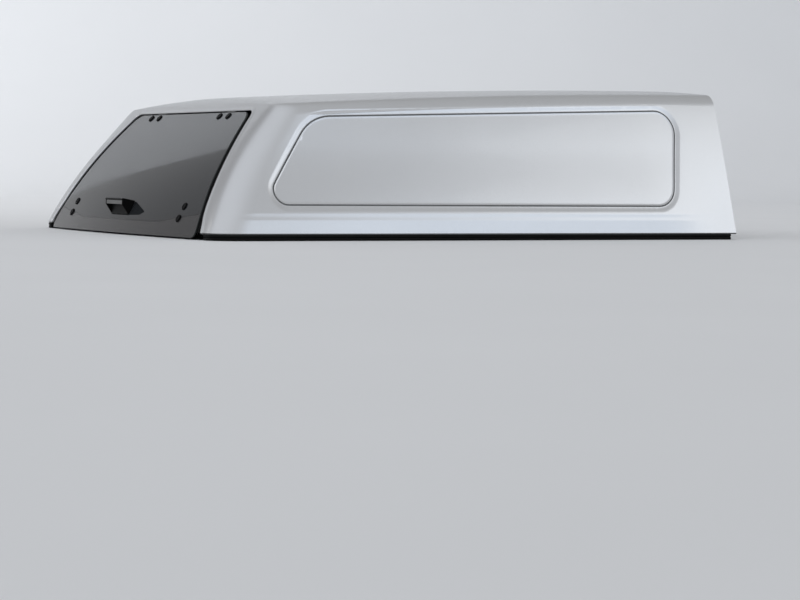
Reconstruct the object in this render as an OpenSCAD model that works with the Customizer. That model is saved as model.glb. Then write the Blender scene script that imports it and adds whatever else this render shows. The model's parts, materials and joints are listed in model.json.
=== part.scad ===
// Hardtop canopy for a pickup bed: a double-skin body with blank sides and a lifting glass hatch.
// Frame: +X to the vehicle's right, +Y towards the cab, +Z up. The origin is the middle of the
// underside of the front base seal. The body runs back from there along -Y.

/* [Body] */
// Length of the body along the bed rail
body_len = 1884; // [1500:1:2300]
// Width of the body at the rail
body_width = 1610; // [1450:1:1750]
// Height of the roof crown at the front end
crown_height = 500; // [460:1:560]
// How far the roof falls from the crown to the shoulder
roof_camber = 26; // [10:1:45]
// Fall of the roof over the first metre back from the front, as a straight slope
roof_fall = 10; // [0:0.5:20]
// Further fall over that metre from the roof's arch
roof_arch = 18; // [5:0.5:22]
// Lean of the sides at the rail, sideways for each unit of height
side_lean = 0.318; // [0.2:0.001:0.4]
// Height of the belt crease above the bottom edge of the sides
belt_height = 50; // [35:1:70]
// How far the belt crease stands out
belt_bulge = 10; // [0:1:16]
// How far the body narrows at its rear end
rear_tuck = 38; // [0:1:50]
// Size of the shoulder rounding between side and roof
shoulder_round = 36; // [20:1:50]
// Size of the rounding between side and rear face
pillar_round = 100; // [60:1:110]
// Size of the rounding between roof and rear face
header_round = 54; // [35:1:55]

/* [Walls] */
// Thickness of the outer skin
skin = 4; // [3:0.5:6]
// Depth from the outer face to the cavity side of the inner liner
liner_depth = 22; // [16:1:30]
// Thickness of the inner liner
liner = 3; // [2:0.5:5]
// Thickness of the front wall
front_wall = 26; // [18:1:34]

/* [Base] */
// Height of the rubber seal under the base rails
seal_height = 18; // [12:1:26]
// Width of the base seal
seal_width = 32; // [20:1:40]
// Thickness of the base rail
rail_thick = 4; // [3:0.5:6]
// Width of the base rail
rail_width = 64; // [50:1:90]
// Height of the upstand on the base rail
rail_upstand = 24; // [15:1:40]

/* [Side panel] */
// Height of the bottom of the blank panel
panel_bottom = 110; // [95:1:140]
// Distance from the start of the shoulder's rounding down to the panel's top at its front end
panel_drop = 18.25; // [14:0.25:46]
// The same distance at the panel's rear end
panel_rear_drop = 8; // [6:0.25:36]
// Distance from the rear of the body to the bottom rear corner of the panel
panel_rear_setback = 215; // [205:1:400]
// Distance from the front of the body to the front of the panel
panel_setback = 229; // [180:1:400]
// Width of the groove seal round the blank panel
groove = 5; // [3:0.5:8]
// How deep the blank panel lies below the skin
panel_inset = 2; // [0:0.5:3]

/* [Rear hatch] */
// Distance from the rear end of the base to the foot of the glass
glass_set = 28; // [20:1:60]
// Thickness of the glass
glass_thick = 5; // [4:0.5:6]
// Distance from the side of the body to the edge of the glass at its foot
glass_margin = 149; // [140:1:220]
// Height of the bottom edge of the glass
glass_bottom = 5; // [4:1:20]
// Depth of the top edge of the glass below the roof crown over it
header_drop = 50; // [49:1:65]
// How far the middle of the glass bows out at its foot
glass_bow = 18; // [5:1:25]
// How far the middle of the glass bows out at its top
glass_top_bow = 2; // [0:1:10]
// Radius of the top corners of the glass
glass_corner = 26; // [15:1:40]
// Gap between the glass and the painted edge at the sides
gap_side = 22; // [14:1:28]
// Gap between the glass and the painted edge at the top
gap_top = 9; // [8:1:14]
// Depth of the seal flange below the face of the glass
flange_depth = 21; // [18:1:28]
// Angle through which the hatch opens
hatch_open = 62; // [50:1:64]

/* [Fittings] */
// Distance of the hinges from the centre line
hinge_x = 300; // [250:1:400]
// Spacing of the two bolts of each hinge
hinge_bolt_spacing = 72; // [60:1:90]
// Diameter of the black bolt caps
cap_diameter = 25; // [16:1:28]
// Distance from the edge of the glass at its foot in to the lower bolts
latch_inset = 165; // [136:1:236]
// Width of the handle's hood at the glass
handle_width = 154; // [130:1:180]
// Height of the foot of the handle's hood
handle_foot = 62; // [55:1:75]
// Height of the hood along the glass
handle_height = 51; // [40:1:60]
// How far the handle stands out from the glass
handle_reach = 44; // [36:1:55]
// Angle through which the handle's paddle lifts
handle_turn = 35; // [20:1:45]
// Diameter of the gas strut's cylinder
strut_diameter = 18; // [15:1:22]
// Diameter of the gas strut's rod
strut_rod_diameter = 8; // [6:1:10]

/* [Front window] */
// Width of the front window
window_width = 1000; // [700:1:1100]
// Height of the front window
window_height = 250; // [180:1:270]
// Height of the window's bottom edge
window_bottom = 130; // [110:1:160]

/* [Hidden] */
$fn = 48;

paint = [0.72, 0.74, 0.76];
dark = [0.09, 0.09, 0.1];
grey = [0.45, 0.46, 0.47];
tint = [0.2, 0.22, 0.22, 0.6];
steel = [0.6, 0.61, 0.62];

base_z = seal_height + rail_thick;
front_y = seal_width / 2 + 2;
rear_y = front_y - body_len;
half_width = body_width / 2;
glass_half = half_width - glass_margin;
clear = 0.3;

// A smooth step from 0 at a to 1 at b
function ease(a, b, v) = let(t = min(1, max(0, (v - a) / (b - a)))) t * t * (3 - 2 * t);
function mirrored(p) = [-p[0], p[1], p[2]];
function unit(v) = v / norm(v);

// Roof and sides
function crown(y) = let(back = (front_y - y) / 1000) crown_height - roof_fall * back - roof_arch * back * back;
shoulder_half = 640;
function roof_z(x, y) = crown(y) - roof_camber * pow(x / shoulder_half, 2);
fade_start = 320;
fade_end = 40;
belt_blend = 220;
function belt_fade(y) = belt_bulge * (1 - ease(front_y - fade_start, front_y - fade_end, y));
function belt_share(h) = h < belt_height ? h / belt_height : 1 - 0.8 * ease(belt_height, belt_height + belt_blend, h);
tuck_len = 1000;
tuck_height = 450;
function tuck_share(h) = 0.3 + 0.7 * sin(min(180, 180 * h / tuck_height));
function side_x(z, y) = let(h = z - base_z)
    half_width - side_lean * h - 1.5e-7 * pow(h, 3) + belt_fade(y) * belt_share(h)
    - rear_tuck * tuck_share(h) * pow(max(0, (rear_y + tuck_len - y) / tuck_len), 2);

// Rear face: the outer surface of the glass, bowed out in the middle and leaning more towards the top
rear_slope = 0.42;
rear_curl = 0.00064;
bow_half = 600;
header_run = 287;
glass_top = crown(rear_y + header_run) - header_drop;
function rear_lean(z) = atan(rear_slope + 2 * rear_curl * z);
function rear_face(x, z) = rear_y + glass_set + rear_slope * z + rear_curl * z * z
    - (glass_bow + (glass_top_bow - glass_bow) * z / glass_top) * (1 - pow(x / bow_half, 2));
function glass_half_at(z) = glass_half - 0.3 * z - 0.00036 * z * z;
// A point d below the rear face, measured square to it
function below_face(x, z, d) = [x, rear_face(x, z) + d / cos(rear_lean(z)), z];

// Rows of the body's arch, from the right rail up and over to the crown on the centre line
belt_rows = [0, 0.5, 1];
side_steps = 8;
round_steps = 5;
roof_steps = 7;
rows_side = len(belt_rows) - 1 + side_steps;
rows_round = rows_side + round_steps;
rows = rows_round + roof_steps;
function shoulder_z(y, n = 4) = n == 0 ? crown(y) - roof_camber : roof_z(side_x(shoulder_z(y, n - 1), y), y);
function bend(a, b, c, t) = (1 - t) * (1 - t) * a + 2 * t * (1 - t) * b + t * t * c;
function side_row_z(i, top) = i < len(belt_rows) ? base_z + belt_rows[i] * belt_height
    : base_z + belt_height + (top - base_z - belt_height) * (i - len(belt_rows) + 1) / side_steps;
function arch(i, y) = let(kz = shoulder_z(y), kx = side_x(kz, y), s0 = kz - shoulder_round,
        x2 = kx - shoulder_round)
    i <= rows_side ? let(z = side_row_z(i, s0)) [side_x(z, y), y, z]
    : i <= rows_round ? let(t = (i - rows_side) / round_steps)
        bend([side_x(s0, y), y, s0], [kx, y, kz], [x2, y, roof_z(x2, y)], t)
    : let(x = x2 * (rows - i) / roof_steps) [x, y, roof_z(x, y)];

// Rim of the rear doorway, grown from the edge of the glass by gs at the sides and gt at the top
lean_scale = cos(rear_lean(glass_top));
corner_start = 23;
function rim(i, gs, gt, foot) = let(top = glass_top + gt * lean_scale, r = max(4, glass_corner + gs),
        rz = r * lean_scale, zs = top - rz * (1 - sin(corner_start)),
        xc = glass_half_at(zs) + gs - r * cos(corner_start))
    i <= rows_side ? let(z = foot + (zs - foot) * (side_row_z(i, glass_top) - base_z) / (glass_top - base_z))
        [glass_half_at(z) + gs, z]
    : i <= rows_round ? let(a = corner_start + (90 - corner_start) * (i - rows_side) / round_steps)
        [xc + r * cos(a), top - rz + rz * sin(a)]
    : [xc * (rows - i) / roof_steps, top];

// Lines of the outer surface from the rim of the doorway, round the corner and forward to the front end
face_steps = 2;
corner_steps = 5;
long_steps = [0.02, 0.07, 0.14, 0.23, 0.33, 0.44, 0.56, 0.68, 0.79, 0.89, 0.96, 1];
cols_corner = face_steps + corner_steps;
wall_col = cols_corner + len(long_steps);
cols = wall_col + 1;
wall_back = front_y - front_wall;
wall_gap = 0.8;
flare_foot = 14;
function corner_y(i, y, n = 5) = n == 0 ? y
    : let(p = arch(i, corner_y(i, y, n - 1))) rear_face(p[0], p[2]);
function surface_line(i) = let(yk = corner_y(i, rear_y + header_run), k = arch(i, yk),
        d = pillar_round + (header_round - pillar_round) * ease(rows_side - 2, rows_round + 1, i),
        r = rim(i, gap_side + flare_foot * (1 - ease(0, 3, i)), gap_top, base_z),
        e = below_face(r[0], r[1], 0), q0 = k + unit(e - k) * min(d, norm(e - k) * 0.8), y2 = yk + d)
    [for (j = [0:cols]) j <= face_steps ? e + (q0 - e) * j / face_steps
        : j <= cols_corner ? bend(q0, k, arch(i, y2), (j - face_steps) / corner_steps)
        : arch(i, j == cols ? front_y : y2 + (wall_back - wall_gap - y2) * long_steps[j - cols_corner - 1])];
half_grid = [for (i = [0:rows]) surface_line(i)];
last = 2 * rows;
grid = [for (i = [0:last]) i <= rows ? half_grid[i] : [for (p = half_grid[last - i]) mirrored(p)]];

// Outward normal at a grid point. It stays level at the bottom edge and square at the front edge.
function grid_normal(i, j) = let(
        a = grid[min(last, i + 1)][j] - grid[max(0, i - 1)][j],
        b = grid[i][min(cols, j + 1)] - grid[i][max(0, j - 1)],
        n = cross(b, a), flat_z = (i == 0 || i == last) ? 0 : 1, flat_y = j == cols ? 0 : 1)
    unit([n[0], n[1] * flat_y, n[2] * flat_z]);
function grid_point(i, j, d) = grid[i][j] - d * grid_normal(i, j);

// A closed sheet between two layers of points, each a list of rows of equal length
module sheet(outer, inner) {
    m = len(outer);
    n = len(outer[0]);
    at = function(layer, i, j) layer * m * n + i * n + j;
    points = [for (layer = [outer, inner], row = layer, p = row) p];
    faces = [
        for (i = [0:m - 2], j = [0:n - 2]) each [
            [at(0, i, j), at(0, i + 1, j), at(0, i + 1, j + 1)],
            [at(0, i, j), at(0, i + 1, j + 1), at(0, i, j + 1)],
            [at(1, i, j), at(1, i + 1, j + 1), at(1, i + 1, j)],
            [at(1, i, j), at(1, i, j + 1), at(1, i + 1, j + 1)]],
        for (j = [0:n - 2]) each [
            [at(0, 0, j), at(0, 0, j + 1), at(1, 0, j + 1)],
            [at(0, 0, j), at(1, 0, j + 1), at(1, 0, j)],
            [at(0, m - 1, j), at(1, m - 1, j + 1), at(0, m - 1, j + 1)],
            [at(0, m - 1, j), at(1, m - 1, j), at(1, m - 1, j + 1)]],
        for (i = [0:m - 2]) each [
            [at(0, i, 0), at(1, i + 1, 0), at(0, i + 1, 0)],
            [at(0, i, 0), at(1, i, 0), at(1, i + 1, 0)],
            [at(0, i, n - 1), at(0, i + 1, n - 1), at(1, i + 1, n - 1)],
            [at(0, i, n - 1), at(1, i + 1, n - 1), at(1, i, n - 1)]]];
    polyhedron(points, faces);
}
// A patch of the body's skin between grid rows i0 to i1 and columns j0 to j1, d0 to d1 below the surface
module patch(i0, i1, j0, j1, d0, d1)
    sheet([for (i = [i0:i1]) [for (j = [j0:j1]) grid_point(i, j, d0)]],
        [for (i = [i0:i1]) [for (j = [j0:j1]) grid_point(i, j, d1)]]);

// A bar swept along the doorway's rim. Its section is a list of [side growth, top growth, side depth, top depth],
// and its cap lists the triangles that close each end.
function rim_point(i, s, foot) = let(k = min(i, last - i), r = rim(k, s[0], s[1], foot),
        p = below_face(r[0], r[1], s[2] + (s[3] - s[2]) * ease(rows_side, rows_round, k)))
    i <= rows ? p : mirrored(p);
module rim_bar(section, cap, i0, i1, foot) {
    n = len(section);
    m = i1 - i0 + 1;
    points = [for (i = [i0:i1], s = section) rim_point(i, s, foot)];
    faces = [
        for (i = [0:m - 2], k = [0:n - 1]) let(l = (k + 1) % n) each [
            [i * n + k, i * n + l, (i + 1) * n + l],
            [i * n + k, (i + 1) * n + l, (i + 1) * n + k]],
        for (t = cap) each [[t[2], t[1], t[0]], [for (k = t) (m - 1) * n + k]]];
    polyhedron(points, faces);
}

module right_and_left() {
    children();
    mirror([1, 0, 0]) children();
}

// Skins
module roof_skin() color(paint) patch(rows_side, last - rows_side, cols_corner, cols, 0, skin);
module rear_header_skin() color(paint) patch(rows_side, last - rows_side, 0, cols_corner, 0, skin);
module pillar_skin() color(paint) patch(0, rows_side, 0, cols_corner, 0, skin);
module side_skin() color(paint) difference() {
    patch(0, rows_side, cols_corner, cols, 0, skin);
    panel_prism(groove);
}

// Blank side panel: a rounded outline in the side view, as [y, z, corner radius] of its sharp corners
panel_front = front_y - panel_setback;
panel_rear = rear_y + panel_rear_setback;
panel_lean = 67;
panel_top = shoulder_z(panel_front + panel_lean) - shoulder_round - panel_drop;
// The rear edge leans with the pillar, and its top end is where that lean meets the panel's top
panel_rear_slope = 0.7274;
function rear_corner_z(n = 5) = let(z = n == 0 ? panel_top : rear_corner_z(n - 1))
    shoulder_z(panel_rear + panel_rear_slope * (z - panel_bottom)) - shoulder_round - panel_rear_drop;
panel_rear_top = rear_corner_z();
panel_rear_lean = panel_rear_slope * (panel_rear_top - panel_bottom);
panel_corners = [
    [panel_rear, panel_bottom, 48],
    [panel_front, panel_bottom, 70],
    [panel_front + panel_lean, panel_top, 62],
    [panel_rear + panel_rear_lean, panel_rear_top, 130]];
function rounded(corners, grow) = [for (k = [0:len(corners) - 1]) let(n = len(corners),
        c = corners[k], a = corners[(k + n - 1) % n], b = corners[(k + 1) % n],
        p = [c[0], c[1]], u = unit([a[0], a[1]] - p), v = unit([b[0], b[1]] - p),
        half = acos(u * v) / 2, r = c[2] + grow, mid = unit(u + v),
        centre = p + mid * (c[2] / sin(half)), start = atan2(-mid[1], -mid[0]) - (90 - half))
    for (s = [0:6]) let(t = start + 2 * (90 - half) * s / 6) centre + r * [cos(t), sin(t)]];
module panel_prism(grow)
    translate([half_width + belt_bulge, 0, 0]) rotate([90, 0, -90]) linear_extrude(half_width / 2)
        polygon([for (p = rounded(panel_corners, grow)) [-p[0], p[1]]]);
// A point of the panel: the outline grown by g, drawn in towards the panel's middle by share k, d below the side
panel_mid = [(panel_front + panel_rear + panel_lean) / 2 + panel_lean / 2, (panel_bottom + panel_top) / 2];
function panel_point(p, k, d) = let(q = panel_mid + (p - panel_mid) * k, n = side_x(q[1], q[0]) - d) [n, q[0], q[1]];
function ring_faces(n, a, b, flip) = [for (i = [0:n - 1]) let(j = (i + 1) % n)
    each flip ? [[a + i, b + j, a + j], [a + i, b + i, b + j]] : [[a + i, a + j, b + j], [a + i, b + j, b + i]]];
panel_rings = [1, 0.9, 0.7, 0.45, 0.2];
module blank_panel() color(paint) {
    outline = rounded(panel_corners, 0);
    n = len(outline);
    m = len(panel_rings);
    depth = [panel_inset, panel_inset + skin];
    points = [for (layer = [0, 1]) each [for (k = panel_rings, p = outline) panel_point(p, k, depth[layer])],
        for (layer = [0, 1]) panel_point(panel_mid, 1, depth[layer])];
    faces = [for (layer = [0, 1], r = [0:m - 2])
            each ring_faces(n, (layer * m + r) * n, (layer * m + r + 1) * n, layer == 0),
        for (layer = [0, 1], i = [0:n - 1]) let(a = (layer * m + m - 1) * n, j = (i + 1) % n, c = 2 * m * n + layer)
            layer == 0 ? [a + i, c, a + j] : [a + i, a + j, c],
        each ring_faces(n, 0, m * n, false)];
    polyhedron(points, faces);
}
module panel_seal() color(dark) {
    near = rounded(panel_corners, 0);
    far = rounded(panel_corners, groove);
    n = len(near);
    d = [panel_inset + 1, panel_inset + skin];
    points = [for (p = near) panel_point(p, 1, d[0]), for (p = far) panel_point(p, 1, d[0]),
        for (p = far) panel_point(p, 1, d[1]), for (p = near) panel_point(p, 1, d[1])];
    polyhedron(points, [for (k = [0:3]) each ring_faces(n, k * n, (k + 1) % 4 * n, false)]);
}

// Inner liner, from the jambs forward to the front wall
module roof_liner() color(grey)
    patch(rows_side, last - rows_side, face_steps + 3, wall_col, liner_depth, liner_depth + liner);
module side_liner() color(grey)
    patch(0, rows_side, face_steps, wall_col, liner_depth, liner_depth + liner);

// Doorway jambs: a step down from the painted edge to the flange that carries the hatch seal.
// At the top the step stands further out, which leaves a trough for the hinge knuckles.
flange = 4;
flange_in = [30, 60];
flange_out = [36, 41];
trough = 35.4;
step_depth = [skin + clear, skin + 5];
flange_back = flange_depth + flange;
jamb_section = [
    [gap_side, trough, step_depth[0], step_depth[1]],
    [gap_side + flange, trough + flange, step_depth[0], step_depth[1]],
    [gap_side + flange, trough + flange, flange_depth, flange_depth],
    [flange_out[0], flange_out[1], flange_depth, flange_depth],
    [flange_out[0], flange_out[1], flange_back, flange_back],
    [-flange_in[0], -flange_in[1], flange_back, flange_back],
    [-flange_in[0], -flange_in[1], flange_depth, flange_depth],
    [gap_side, trough, flange_depth, flange_depth]];
jamb_cap = [[7, 0, 1], [7, 1, 2], [2, 3, 4], [2, 4, 5], [7, 2, 5], [6, 7, 5]];
module jamb() color(dark) rim_bar(jamb_section, jamb_cap, 0, rows_side, base_z);
module header_beam() color(dark) rim_bar(jamb_section, jamb_cap, rows_side, last - rows_side, base_z);
seal_top = glass_thick + clear;
seal_section = [[10, -34, seal_top + 2, seal_top + 2], [6, -37, seal_top, seal_top],
    [-8, -50, seal_top, seal_top], [-13, -55, seal_top + 3, seal_top + 3],
    [-13, -55, flange_depth - clear, flange_depth - clear], [10, -34, flange_depth - clear, flange_depth - clear]];
seal_cap = [[0, 1, 2], [0, 2, 3], [0, 3, 4], [0, 4, 5]];
module hatch_seal() color(dark) rim_bar(seal_section, seal_cap, 0, last, base_z);

// Front wall with its window
window_z = window_bottom + window_height / 2;
module front_wall_outline(d) polygon([for (i = [0:last]) let(p = grid_point(i, cols, d)) [p[0], p[2]]]);
module window_shape(grow, depth, back) translate([0, back, window_z]) rotate([-90, 0, 0])
    linear_extrude(depth) hull() for (sx = [-1, 1], sz = [-1, 1])
        translate([sx * (window_width / 2 - 45), sz * (window_height / 2 - 45)]) circle(45 + grow, $fn = 32);
module front_wall_skin() color(paint) difference() {
    translate([0, front_y, 0]) rotate([90, 0, 0]) linear_extrude(front_wall) front_wall_outline(skin + 0.45);
    window_shape(14, front_wall + 2, wall_back - 1);
}
module front_window_gasket() color(dark) difference() {
    window_shape(13.9, front_wall, wall_back);
    window_shape(0, front_wall + 2, wall_back - 1);
    window_shape(8, 5, front_y - 14);
}
module front_window_glass() color(tint) window_shape(7.8, 4.6, front_y - 13.8);

// Base rails and the seal under them
function rail_edge(d) = [for (j = [0:cols]) let(p = grid_point(0, j, d)) [p[0], p[1]]];
rail_back = grid_point(0, 0, 0);
function before(path, front) = [for (p = path) if (p[1] < front) p];
function turned(path) = [for (k = [len(path) - 1:-1:0]) path[k]];
module side_rail_outline(edge_in, width, front) polygon(concat(
    before(rail_edge(edge_in), front), [[half_width - edge_in, front], [half_width - width, front]],
    turned(before(rail_edge(width), front))));
module side_rail() color(grey) {
    translate([0, 0, seal_height]) linear_extrude(rail_thick) side_rail_outline(0, rail_width, front_y);
    translate([half_width - rail_width, rail_back[1] + rail_width + 10, base_z])
        cube([rail_thick, body_len - 3 * rail_width - 60, rail_upstand]);
}
rail_span = 2 * (half_width - rail_width);
module front_base_rail() color(grey)
    translate([-rail_span / 2, front_y - rail_width, seal_height]) cube([rail_span, rail_width, rail_thick]);
// The seal's outer edge has two lobes, one above the other
lobe_gap = 1.5;
module side_base_seal() color(dark) {
    linear_extrude(seal_height / 2) side_rail_outline(3, seal_width, front_y - 3);
    translate([0, 0, seal_height / 2]) linear_extrude(seal_height / 2)
        side_rail_outline(3 - lobe_gap, seal_width, front_y - 3);
}
module front_base_seal() color(dark) translate([seal_width - half_width, -seal_width / 2, 0])
    cube([2 * (half_width - seal_width), seal_width, seal_height]);

// Hatch glass
glass_steps = 16;
glass_foot_corner = 22;
function corner_cut(r, along) = along < r ? r - sqrt(max(0, r * r - pow(r - along, 2))) : 0;
function glass_edge(z) = glass_half_at(z) - corner_cut(glass_corner, (glass_top - z) / lean_scale)
    - corner_cut(glass_foot_corner, z - glass_bottom);
glass_levels = concat(
    [for (t = [0, 0.08, 0.3, 0.65]) glass_bottom + glass_foot_corner * t],
    [for (k = [0:10]) glass_bottom + glass_foot_corner
        + (glass_top - glass_bottom - glass_foot_corner - glass_corner * lean_scale) * k / 10],
    [for (t = [0.35, 0.7, 0.92, 1]) glass_top - glass_corner * lean_scale * (1 - t)]);
module face_sheet(levels, shrink, d0, d1) {
    layer = function(d) [for (z = levels) [for (k = [0:glass_steps])
        below_face((glass_edge(z) - shrink) * (1 - 2 * k / glass_steps), z, d)]];
    sheet(layer(d0), layer(d1));
}
module hatch_glass() color(tint) face_sheet(glass_levels, 0, 0, glass_thick);
// Inner moulding along the foot of the glass
trim_rows = [12, 22, 32, 42];
trim_thick = 12;
trim_in = 86;
module hatch_trim() color(dark)
    face_sheet(trim_rows, trim_in, glass_thick + 0.4, glass_thick + trim_thick);

// A local frame on the glass: x along the hatch, y up the glass, z square out to the rear
function bow_turn(x, z) = atan((glass_bow + (glass_top_bow - glass_bow) * z / glass_top) * 2 * x / pow(bow_half, 2));
module on_glass(x, z) translate(below_face(x, z, 0)) rotate([0, 0, bow_turn(x, z)])
    rotate([90 - rear_lean(z), 0, 0]) children();

// Bolt caps on the outside of the glass
latch_x = glass_half - latch_inset;
hinge_bolt_z = glass_top - 9;
latch_bolts = [[latch_x, 97], [latch_x - 1, 60]];
cap_height = 4;
cap_bolts = concat([for (s = [-1, 1]) [hinge_x + s * hinge_bolt_spacing / 2, hinge_bolt_z]], latch_bolts);
module hatch_bolt_caps() color(dark) right_and_left() for (b = cap_bolts)
    on_glass(b[0], b[1]) translate([0, 0, clear]) rotate_extrude() polygon([[0, 0], [cap_diameter / 2, 0],
        [cap_diameter / 2, cap_height - 2], [cap_diameter / 2 - 2, cap_height], [0, cap_height]]);

// Hinges: the leaf is bolted under the glass and turns on a pin in the header's trough
hinge_u = 19;
hinge_w = 11;
hinge_lean = rear_lean(glass_top);
hinge_origin = below_face(hinge_x, glass_top, 0);
hinge_axis = [hinge_origin[1] + hinge_u * sin(hinge_lean) + hinge_w * cos(hinge_lean),
    hinge_origin[2] + hinge_u * cos(hinge_lean) - hinge_w * sin(hinge_lean)];
knuckle_r = 5;
pin_r = 3;
leaf_len = 38;
leaf_wide = hinge_bolt_spacing + 20;
leaf_plate = 3;
// The leaf's arm is bent so that it comes out round the edge of the header skin when the hatch is open
arm_thick = 2.5;
arm_gap = 1.2;
pivot = [hinge_u, -hinge_w];
function turned_back(p) = let(v = p - pivot, c = cos(hatch_open), s = sin(hatch_open))
    pivot + [c * v[0] - s * v[1], s * v[0] + c * v[1]];
arm_out = gap_top - arm_gap - arm_thick / 2;
arm_line = [pivot, turned_back([arm_out, -skin - 1]), turned_back([arm_out, 1]),
    [-3, -glass_thick - 1 - leaf_plate / 2]];
// A frame with its origin at the glass's top edge, x along the hatch, y up the glass, z out
module at_top_edge() translate([hinge_x, hinge_origin[1], hinge_origin[2]]) rotate([90 - hinge_lean, 0, 0]) children();
module hinge_leaves() color(steel) right_and_left() at_top_edge() {
    translate([-leaf_wide / 2, -24, -glass_thick - 1 - leaf_plate]) cube([leaf_wide, 22, leaf_plate]);
    translate([-leaf_len / 2, 0, 0]) rotate([90, 0, 90]) difference() {
        union() {
            for (k = [0:2]) linear_extrude(leaf_len) hull() {
                translate(arm_line[k]) circle(arm_thick / 2, $fn = 16);
                translate(arm_line[k + 1]) circle(arm_thick / 2, $fn = 16);
            }
            translate(pivot) cylinder(h = leaf_len, r = knuckle_r);
        }
        translate([hinge_u, -hinge_w, -1]) cylinder(h = leaf_len + 2, r = pin_r + 0.05);
    }
}
knuckle_gap = 0.5;
base_len = 14;
module hinge_bases() color(steel) right_and_left() at_top_edge() rotate([90, 0, 90]) {
    translate([hinge_u, -hinge_w, -leaf_len / 2 - knuckle_gap - base_len])
        cylinder(h = leaf_len + 2 * (knuckle_gap + base_len), r = pin_r);
    for (z = [-leaf_len / 2 - knuckle_gap - base_len, leaf_len / 2 + knuckle_gap]) translate([0, 0, z]) {
        translate([hinge_u, -hinge_w, 0]) cylinder(h = base_len, r = knuckle_r);
        translate([hinge_u - 8, -flange_depth + clear, 0]) cube([14, flange_depth - hinge_w, base_len]);
    }
}

// Latches at the foot of the hatch, each with a slot that drops over a striker on the jamb
latch_z = 40;
latch_top = 34;
latch_wide = 38;
latch_gap = 41;
latch_high = 44;
slot_wide = 16;
striker_r = 4;
striker_plate = 4;
striker_high = 28;
striker_len = 24;
module at_latch() on_glass(glass_edge(latch_z), latch_z) children();
module latches() color(dark) right_and_left() at_latch() difference() {
    translate([-latch_gap - latch_wide, -latch_high / 2, -latch_top])
        cube([latch_wide, latch_high, latch_top - glass_thick - 1]);
    translate([-latch_gap - latch_wide + 12, -slot_wide / 2, -latch_top - 1])
        cube([latch_wide, slot_wide, latch_top - 14]);
}
module latch_strikers() color(steel) right_and_left() at_latch() {
    translate([-latch_gap - 16, 0, -flange_depth - 2]) rotate([0, 90, 0])
        cylinder(h = striker_len, r = striker_r);
    translate([-latch_gap + 6.8, -striker_high / 2, -flange_back - 2])
        cube([striker_plate, striker_high, flange + 4]);
}

// Gas struts, drawn in at rest. The rod's end stands beside its stud on the hatch.
strut_x = latch_x - 32;
strut_ahead = 30;
strut_below = 90;
strut_top = [hinge_axis[0] + strut_ahead, hinge_axis[1] - strut_below];
stud_depth = 28;
stud_wide = 28;
stud_drop = 52;
stud_rise = 10;
stud_pin = 9;
stud_face = below_face(latch_x, latch_bolts[0][1], 0);
stud_lean = rear_lean(latch_bolts[0][1]);
strut_foot = [stud_face[1] + stud_depth * cos(stud_lean), stud_face[2] - stud_depth * sin(stud_lean)];
strut_len = norm(strut_foot - strut_top);
strut_aim = atan2(strut_top[0] - strut_foot[0], strut_foot[1] - strut_top[1]);
strut_r = strut_diameter / 2;
rod_r = strut_rod_diameter / 2;
eye_r = 9;
eye_pin_r = 4;
tube_start = 11;
tube_len = 186;
rod_reach = 140;
end_r = 8;
side_gap = 1;
plate = 4;
module at_strut() translate([strut_x, strut_top[0], strut_top[1]]) rotate([strut_aim, 0, 0]) children();
module strut_cylinder() color(dark) at_strut() difference() {
    union() {
        translate([-strut_r, 0, 0]) rotate([0, 90, 0]) cylinder(h = 2 * strut_r, r = eye_r);
        translate([0, 0, tube_start - 5]) cylinder(h = 12, r = rod_r + 2);
        translate([0, 0, tube_start]) cylinder(h = tube_len, r = strut_r);
    }
    translate([-strut_r - 1, 0, 0]) rotate([0, 90, 0]) cylinder(h = 2 * strut_r + 2, r = eye_pin_r + 0.05);
    translate([0, 0, tube_start + tube_len - rod_reach - 12]) cylinder(h = rod_reach + 13, r = rod_r + 0.05);
}
module strut_rod() color(steel) at_strut() {
    translate([0, 0, tube_start + tube_len - rod_reach])
        cylinder(h = strut_len - tube_start - tube_len + rod_reach, r = rod_r);
    translate([-strut_r, 0, strut_len]) rotate([0, 90, 0]) cylinder(h = 2 * strut_r, r = end_r);
}
// The bracket hangs from the header flange and holds the cylinder's pin
flange_at = below_face(strut_x, glass_top, flange_back);
module strut_mount() color(steel) {
    translate([strut_x + strut_r + side_gap, 0, 0]) rotate([90, 0, 90]) linear_extrude(plate) polygon([
        [strut_top[0] - 14, strut_top[1] - 10], [strut_top[0] + 14, strut_top[1] - 10],
        [flange_at[1] + 34, flange_at[2]], [flange_at[1] - 12, flange_at[2] - 26]]);
    translate([strut_x - strut_r, strut_top[0], strut_top[1]]) rotate([0, 90, 0])
        cylinder(h = 2 * strut_r + side_gap + plate / 2, r = eye_pin_r);
}
module strut_studs() color(steel) right_and_left() on_glass(latch_x, latch_bolts[0][1]) {
    translate([-stud_wide / 2, -stud_drop, -glass_thick - 1 - plate])
        cube([stud_wide, stud_drop + stud_rise, plate]);
    translate([-stud_wide / 2, -stud_rise, -stud_depth - 8])
        cube([plate, 2 * stud_rise, stud_depth + 8 - glass_thick - 1]);
    translate([2 - stud_wide / 2 - stud_pin, 0, -stud_depth]) rotate([0, 90, 0])
        cylinder(h = stud_pin, r = eye_pin_r);
}

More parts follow.
